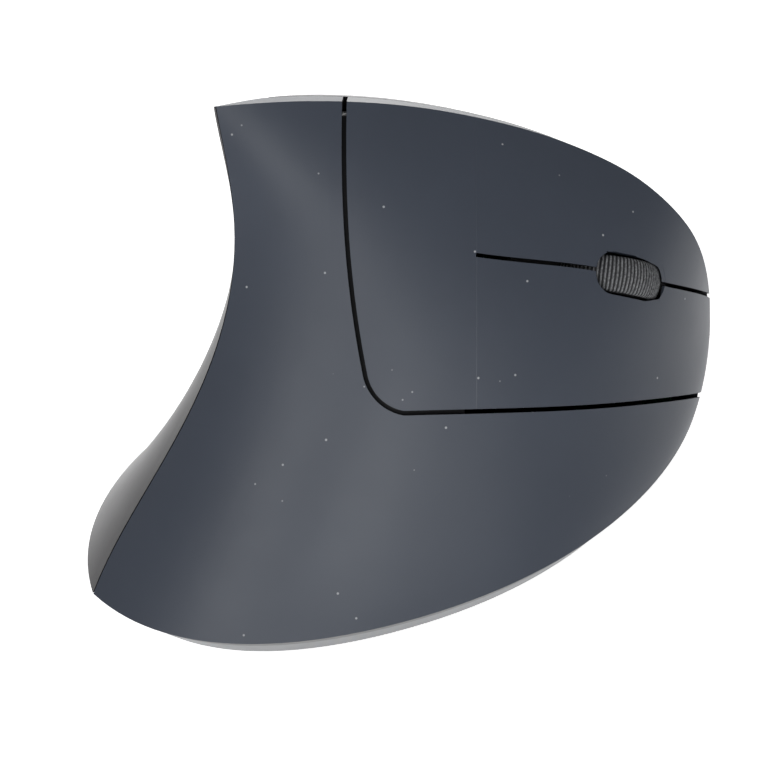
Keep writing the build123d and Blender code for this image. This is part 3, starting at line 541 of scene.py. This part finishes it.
# %% The rear seam's wall at the ridge
face_turn, face_rise, face_tip = math.radians(10.0), math.radians(38.0), math.radians(7.0)
face_out = Vector((math.cos(face_rise) * math.cos(face_turn),
                   -math.cos(face_rise) * math.sin(face_turn), math.sin(face_rise)))
face_along = (Matrix.Rotation(-face_tip, 3, face_out)
              @ Vector((math.sin(face_turn), math.cos(face_turn), 0.0)))
ridge_height, wall_turn = 60.0 * mm, 0.8
# These walls at the ridge get the painted shade too.
high_walls = [p for p in nodes["palm_shell"].data.polygons if p.center.z > ridge_height
              and p.normal.dot(face_along) > wall_turn and p.material_index == outer]
print("palm_shell walls at the ridge", repaint(high_walls, painted_shade))

# %% [markdown]
# Behind the fingertips the key plate wraps over the ridge to the thumb side. Seen from the finger
# side only a bright line of that strip shows, and its brightness is painted into the strip's
# colour as a painted highlight. Its faces are those that have turned away from the finger side,
# so their direction picks them out.

# %% Painted highlight on the strip over the ridge
strip_turn = 0.72
for name in ("key_plate", "left_button"):
    data = nodes[name].data
    data.materials.append(painted_strip_highlight)
    # The strip's faces get the painted highlight.
    strip = [p for p in data.polygons
             if p.material_index == outer and p.normal.dot(face_out) < strip_turn]
    print(name, "strip faces", repaint(strip, painted_highlight))

# %% [markdown]
# The rest of the lesson makes five pieces of its own: the wheel's tyre, two rims and two webs.
# They share a few steps. Points go round a ring, two rings are joined by a band of faces, and the
# finished mesh becomes a piece with smooth shading.

# %% Mesh helpers
def ring_pairs(ring):
    """Each thing in the ring with the next one, and the last with the first."""
    return list(zip(ring, ring[1:] + ring[:1]))


def join_rings(mesh, ring, other_ring):
    """A band of faces between two rings that have the same number of points."""
    for (a, b), (c, d) in zip(ring_pairs(ring), ring_pairs(other_ring)):
        mesh.faces.new((a, b, d, c))


def new_piece(name, mesh, sharp_angle=None):
    """Turns the mesh into a smooth piece, with its edges sharp where they turn by more."""
    bmesh.ops.recalc_face_normals(mesh, faces=mesh.faces)
    data = bpy.data.meshes.new(name)
    mesh.to_mesh(data)
    mesh.free()
    data.shade_smooth()
    if sharp_angle is not None:
        data.set_sharp_from_angle(angle=sharp_angle)
    piece = bpy.data.objects.new(name, data)
    scene.collection.objects.link(piece)
    return piece


# %% [markdown]
# The scroll wheel's tyre is moulded rubber with fine ribs across it, rounded over its crown. The
# CAD tyre has fewer, square grooves, which is enough for contact. Here its form comes from a
# formula: for each place across the width, the radius is the crown's arc less the rounding of
# the shoulder, and less the rib's wave, which dies out toward the sides.

# %% Tyre profile
spin = next(joint for joint in frame["joints"] if joint["name"] == "wheel_spin")
axle_centre, axle_line = Vector(spin["pos_m"]), Vector(spin["axis"]).normalized()
tyre_radius, tyre_width, bore_radius = 10.5 * mm, 6.2 * mm, 8.25 * mm
crown_drop, rib_depth = 0.8 * mm, 0.34 * mm
shoulder_start, shoulder_width, shoulder_drop, shoulder_power = 0.80, 0.20, 0.45 * mm, 2.4
fade_start, fade_width, fade_power = 0.78, 0.22, 1.5


def tyre_point_radius(share, wave):
    """Radius at a place across the width, with the shoulder rounded and the rib's wave cut in."""
    crown = tyre_radius - crown_drop * share * share
    past_shoulder = max(0.0, (abs(share) - shoulder_start) / shoulder_width)
    past_fade = max(0.0, (abs(share) - fade_start) / fade_width)
    rib = rib_depth * (1.0 - wave) * (1.0 - past_fade ** fade_power)
    return crown - shoulder_drop * past_shoulder ** shoulder_power - rib


# %% [markdown]
# The profile is turned around the axle in small steps, eight to a rib, and each step's points
# are joined to the next. A stored number tells the material how high each point stands on its rib.

# %% Tyre mesh
rib_total, steps_per_rib, rib_fullness = 92, 8, 0.6
half_shares = [0.12, 0.34, 0.54, 0.72, 0.86, 0.94, 0.985, 1.0]
across_shares = [-share for share in reversed(half_shares)] + half_shares


def tyre_section(mesh, height, spoke, wave):
    """One closed section of the tyre: across the crown, and back along the bore."""
    section = []
    for share in across_shares + [1.0, -1.0]:
        at_bore = len(section) >= len(across_shares)
        radius = bore_radius if at_bore else tyre_point_radius(share, wave)
        point = mesh.verts.new(axle_centre + spoke * radius + axle_line * share * tyre_width / 2)
        point[height] = 0.0 if at_bore else wave
        section.append(point)
    return section


def make_tyre():
    side = axle_line.orthogonal().normalized()
    other = axle_line.cross(side)
    mesh = bmesh.new()
    height = mesh.verts.layers.float.new("rib_height")
    sections = []
    steps = rib_total * steps_per_rib
    for step in range(steps):
        angle = 2 * math.pi * step / steps
        wave = (0.5 + 0.5 * math.cos(2 * math.pi * step / steps_per_rib)) ** rib_fullness
        spoke = side * math.cos(angle) + other * math.sin(angle)
        sections.append(tyre_section(mesh, height, spoke, wave))
    for section, following in ring_pairs(sections):
        join_rings(mesh, section, following)
    return new_piece("ribbed_tyre", mesh)


ribbed_tyre = make_tyre()
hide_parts("wheel_tyre")
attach(ribbed_tyre, "scroll_wheel")
print("tyre faces", len(ribbed_tyre.data.polygons))

# %% [markdown]
# The rubber is dark in the grooves. The tops are greyer, where fingers have worn them and
# fine dust clings, so the colour follows the stored rib height, broken up by noise.

# %% Tyre rubber
groove_black, worn_grey, wear_stops = (0.016, 0.017, 0.019), (0.250, 0.256, 0.268), (0.18, 0.62)
rubber_spots, rubber_detail = 2600.0, 4.0


def tyre_rubber():
    material, shader = new_material("tyre_rubber", Specular_IOR_Level=0.4)
    stored = add_node(material, "ShaderNodeAttribute", {"attribute_name": "rib_height"})
    scatter = noise(material, object_place(material), rubber_spots, rubber_detail)
    worn = calculate(material, "MULTIPLY", stored.outputs["Fac"], scatter)
    tint = two_tones(material, worn, opaque(groove_black), opaque(worn_grey), wear_stops)
    return finish_surface(material, shader, tint, number_range(material, scatter, 0.50, 0.75),
                          bump_from(material, scatter, 0.5, 0.02 * mm))


dress(ribbed_tyre, tyre_rubber())

# %% [markdown]
# The cut that gives the tyre room to turn ends square at the front, but on the real mouse the
# opening's front end is round and hugs the tyre. Two thin rims fill the corners, one on each key,
# with the slit left open between them. First the keys' skin is measured around the opening, in
# the wheel's own directions: along, across and outward.

# %% Skin around the wheel opening
press = next(joint for joint in frame["joints"] if joint["name"] == "wheel_press")
wheel_out = -Vector(press["axis"]).normalized()
wheel_along = axle_line.cross(wheel_out).normalized()
reach_along, reach_across, skin_low, skin_facing = 13.0 * mm, 9.0 * mm, 5.5 * mm, 0.75


def skin_places():
    """The keys' outer points near the opening: along, across and out from the axle."""
    places = set()
    for name in ("left_button", "right_button"):
        data, matrix = nodes[name].data, nodes[name].matrix_world
        for polygon in data.polygons:
            if polygon.normal.dot(wheel_out) < skin_facing:
                continue
            for index in polygon.vertices:
                point = matrix @ data.vertices[index].co - axle_centre
                row = (point.dot(wheel_along), point.dot(axle_line), point.dot(wheel_out))
                if abs(row[0]) < reach_along and abs(row[1]) < reach_across and row[2] > skin_low:
                    places.add(tuple(round(v, 7) for v in row))
    return np.array(sorted(places))


# %% [markdown]
# The measured points become one smooth formula, a sum of powers up to the third. Points that
# miss it by far belong to an edge or a wall and not to the skin, so they are left out and the
# formula is found again, six times in all.

# %% A formula for the skin
fit_rounds, odd_ratio, odd_least = 6, 2.5, 0.03 * mm


def skin_terms(x, y):
    x, y = np.asarray(x) / mm, np.asarray(y) / mm
    return np.stack([np.ones_like(x), x, y, x * x, x * y, y * y,
                     x ** 3, x * x * y, x * y * y, y ** 3], -1)


def measure_skin():
    """Weights of a cubic formula for the skin's height over the axle, without its odd points."""
    places = skin_places()
    heights = places[:, 2]
    terms = skin_terms(places[:, 0], places[:, 1])
    kept = np.ones(len(places), bool)
    for _ in range(fit_rounds):
        weights = np.linalg.lstsq(terms[kept], heights[kept], rcond=None)[0]
        miss = np.abs(heights - terms @ weights)
        kept = miss < max(odd_least, odd_ratio * miss[kept].std())
    return weights, miss[kept].max()


skin_weights, skin_miss = measure_skin()
print("skin formula misses by", round(float(skin_miss) / mm, 3), "mm at most")

# %% [markdown]
# A rim is a small wedge. Its top follows the skin a hair below it, and its inner wall follows the
# tyre at a fixed distance, so the opening's edge comes out as the rounded line where a slightly
# larger tyre would break through the skin. Its outer part is sunk in the key, out of sight.

# %% Where a rim starts
rim_drop, rim_thickness = 0.02 * mm, 0.8 * mm
rim_end, rim_side, rim_least = 8.3 * mm, 3.95 * mm, 0.1 * mm
side_slope, first_guess, guess_rounds, start_least = 1.2, 5.0 * mm, 20, 0.2 * mm


def skin_height(x, y, drop):
    return float(skin_terms(x, y) @ skin_weights) - drop


def rim_start(y, drop, rim_room):
    """How far along the opening the enlarged tyre lies at this depth under the skin."""
    share = min(1.0, abs(y) / (tyre_width / 2))
    radius = (tyre_point_radius(share, 1.0) + rim_room
              - side_slope * max(0.0, abs(y) - tyre_width / 2))
    x = first_guess
    for _ in range(guess_rounds):
        height = skin_height(x, y, drop)
        x = math.sqrt(max(start_least ** 2, radius * radius - height * height))
    return min(x, rim_end - rim_least)


# %% [markdown]
# Each rim has two layers of points, one at its top and one at its underside, laid out in rows
# that run from the slit outward. The rows lean with the slit, and a band of faces closes the
# space between the two layers' borders.

# %% Points and faces of a rim
slit_half, slit_lean, slit_middle = 0.36 * mm, 0.034, 7.3 * mm
rim_rows, rim_columns = 22, 8


def rim_point(side, i, j, drop, rim_room):
    """The point in row i, counted across, and column j, counted along, at this depth."""
    y = side * (slit_half + (rim_side - slit_half) * i / (rim_rows - 1))
    start = rim_start(y, drop, rim_room)
    x = start + (rim_end - start) * j / (rim_columns - 1)
    y += slit_lean * (x - slit_middle) * (1 - i / (rim_rows - 1))
    return (axle_centre + wheel_along * x + axle_line * y
            + wheel_out * skin_height(x, y, drop))


def around(rows):
    """The points on the border of a layer, once round."""
    return (rows[0] + [row[-1] for row in rows[1:]] + rows[-1][-2::-1]
            + [row[0] for row in rows[-2:0:-1]])


def rim_mesh(side, rim_room):
    mesh = bmesh.new()
    layers = [[[mesh.verts.new(rim_point(side, i, j, drop, rim_room))
                for j in range(rim_columns)] for i in range(rim_rows)]
              for drop in (rim_drop, rim_thickness)]
    for rows in layers:
        for a, b in zip(rows, rows[1:]):
            for j in range(rim_columns - 1):
                mesh.faces.new((a[j], a[j + 1], b[j + 1], b[j]))
    join_rings(mesh, *(around(rows) for rows in layers))
    return mesh


# %% [markdown]
# A rim is moulded with its key, so its top has the coating, and its walls get the near-black
# painted shade of the seams.
# The gaps beside the tyre are not alike: the upper key's rim stays closer to it.

# %% Rims at the front of the opening
sharp_turn = math.radians(30.0)
rims = (("left_key_rim", 1, "left_key", 0.42 * mm), ("right_key_rim", -1, "right_key", 0.95 * mm))


def make_rim(name, side, rim_room):
    rim = new_piece(name, rim_mesh(side, rim_room), sharp_turn)
    dress(rim, soft_touch)
    rim.data.materials.append(painted_seam_shade)
    # The rim's walls get the near-black painted shade.
    repaint([p for p in rim.data.polygons if abs(p.normal.dot(wheel_out)) < skin_facing], painted_shade)
    return rim


for name, side, body, room in rims:
    rim = make_rim(name, side, room)
    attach(rim, body)
    print(name, "faces", len(rim.data.polygons))

# %% [markdown]
# The two finger keys and the strip behind them are one moulding, which bends where it is
# thinned inside. The CAD parts it with a hair-wide gap, so that the keys can turn. A web is
# made to fill that gap. It starts as a copy of the faces in which each key ends there: those that
# look straight back, and lie in the key's last plane.

# %% A key's end faces
hinge_gap = 0.15 * mm
straight_back, plane_spread = -0.999, 0.02 * mm


def end_faces(key):
    """The key's end faces at the bending line, as marked points and triples of marks."""
    source = nodes[key].data
    ends = [p for p in source.polygons if p.normal.dot(face_along) < straight_back]
    line = np.median(np.array([p.center.dot(face_along) for p in ends]))
    points, faces = {}, []
    for polygon in ends:
        if abs(polygon.center.dot(face_along) - line) > plane_spread:
            continue
        places = [source.vertices[index].co for index in polygon.vertices]
        marks = [tuple(round(c, 7) for c in place) for place in places]
        if len(set(marks)) == 3:
            faces.append(marks)
            for mark, place in zip(marks, places):
                points.setdefault(mark, place.copy())
    return points, faces, line


# %% [markdown]
# The copied faces are used twice, once in place and once drawn back across the gap. An edge that
# has no face on its other side is on the border, and a wall joins the two sheets there.

# %% Webs across the keys' bending line
def web_mesh(points, faces):
    mesh = bmesh.new()
    sheets = [{mark: mesh.verts.new(place + shift) for mark, place in points.items()}
              for shift in (Vector(), -face_along * hinge_gap)]
    for sheet in sheets:
        for marks in faces:
            mesh.faces.new([sheet[mark] for mark in marks])
    at_key, at_strip = sheets
    edges = [pair for marks in faces for pair in ring_pairs(marks)]
    for a, b in edges:
        if (b, a) not in edges:
            mesh.faces.new((at_key[a], at_key[b], at_strip[b], at_strip[a]))
    return mesh


def make_web(key):
    """Fills the gap behind the key's end faces."""
    points, faces, line = end_faces(key)
    web = new_piece(key + "_web", web_mesh(points, faces), sharp_turn)
    dress(web, soft_touch)
    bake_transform(web)
    return web


for key, body in (("left_button", "left_key"), ("right_button", "right_key")):
    web = make_web(key)
    print(web.name, "faces", len(web.data.polygons))

# %% [markdown]
# The mouse stands on a white table. The floor is one large pale sheet. Seen directly it is
# lifted to white, and its own shading stays under that, so the mouse keeps its soft shadow.
# Light Path tells the material which rays come from the camera, straight or by way of something
# shiny or clear, so the lift lights nothing that is matt.

# %% Floor
floor_width, floor_squares = 6.0, 8
floor_grey, floor_lift, white = (0.80, 0.80, 0.80), 0.82, (1.0, 1.0, 1.0, 1.0)


def floor_sheet():
    bpy.ops.mesh.primitive_grid_add(x_subdivisions=floor_squares, y_subdivisions=floor_squares,
                                    size=floor_width, location=(0.0, 0.0, 0.0))
    floor = bpy.context.active_object
    floor.name = "table_top"
    material, shader = new_material("table_white", Roughness=0.8, Specular_IOR_Level=0.2,
                                    Base_Color=opaque(floor_grey), Emission_Color=white)
    path = add_node(material, "ShaderNodeLightPath").outputs
    seen = calculate(material, "MAXIMUM", path["Is Camera Ray"], path["Is Glossy Ray"])
    clear = calculate(material, "MAXIMUM", seen, path["Is Transmission Ray"])
    lift = calculate(material, "MULTIPLY", clear, floor_lift)
    plug(material, lift, shader.inputs["Emission Strength"])
    dress(floor, material)


floor_sheet()

# %% [markdown]
# The light is that of a small studio. A soft window high behind the object, on the finger side,
# draws the long pale streak down the palm shell. A low card near the camera fills the lower half,
# and a weak one farther forward lifts the keys. Two lamps on the thumb side keep that side
# readable and give the ridge its bright line. One round soft lamp is the simplest of these to
# set, so a helper makes all five: each line of the table gives a place, a width and a power.

# %% Lamps
lamp_aim = Vector((0.0, 0.0, 0.03))
lamps = {"rear_window": ((0.370, -0.510, 0.680), 0.36, 1.95),
         "near_card": ((0.263, -0.070, 0.157), 0.12, 0.27),
         "front_card": ((0.300, 0.080, 0.120), 0.14, 0.10),
         "thumb_window": ((-0.620, 0.100, 0.240), 0.50, 1.50),
         "thumb_card": ((-0.540, 0.400, 0.240), 0.30, 0.90)}


def soft_lamp(name, place, width, power):
    data = bpy.data.lights.new(name, "AREA")
    data.shape, data.size, data.energy = "DISK", width, power
    lamp = bpy.data.objects.new(name, data)
    lamp.location = place
    lamp.rotation_mode = "QUATERNION"
    lamp.rotation_quaternion = (lamp_aim - Vector(place)).to_track_quat("-Z", "Y")
    lamp.visible_camera = False
    scene.collection.objects.link(lamp)


for name, (place, width, power) in lamps.items():
    soft_lamp(name, place, width, power)

# %% [markdown]
# Around the lamps hangs a white tent, which adds a little light from everywhere. The picture
# itself has a plain white ground, so the camera sees the tent at full white, while the light
# that it sheds is a fifth of that. The world has a graph of nodes like a material's, so the same
# helpers serve.

# %% Surroundings
tent_light, tent_seen = 0.20, 1.0
world = bpy.data.worlds.new("tent")
scene.world = world
world.use_nodes = True
sky = world.node_tree.nodes["Background"]
path = add_node(world, "ShaderNodeLightPath")
plug(world, number_range(world, path.outputs["Is Camera Ray"], tent_light, tent_seen),
     sky.inputs["Strength"])
sky.inputs["Color"].default_value = white
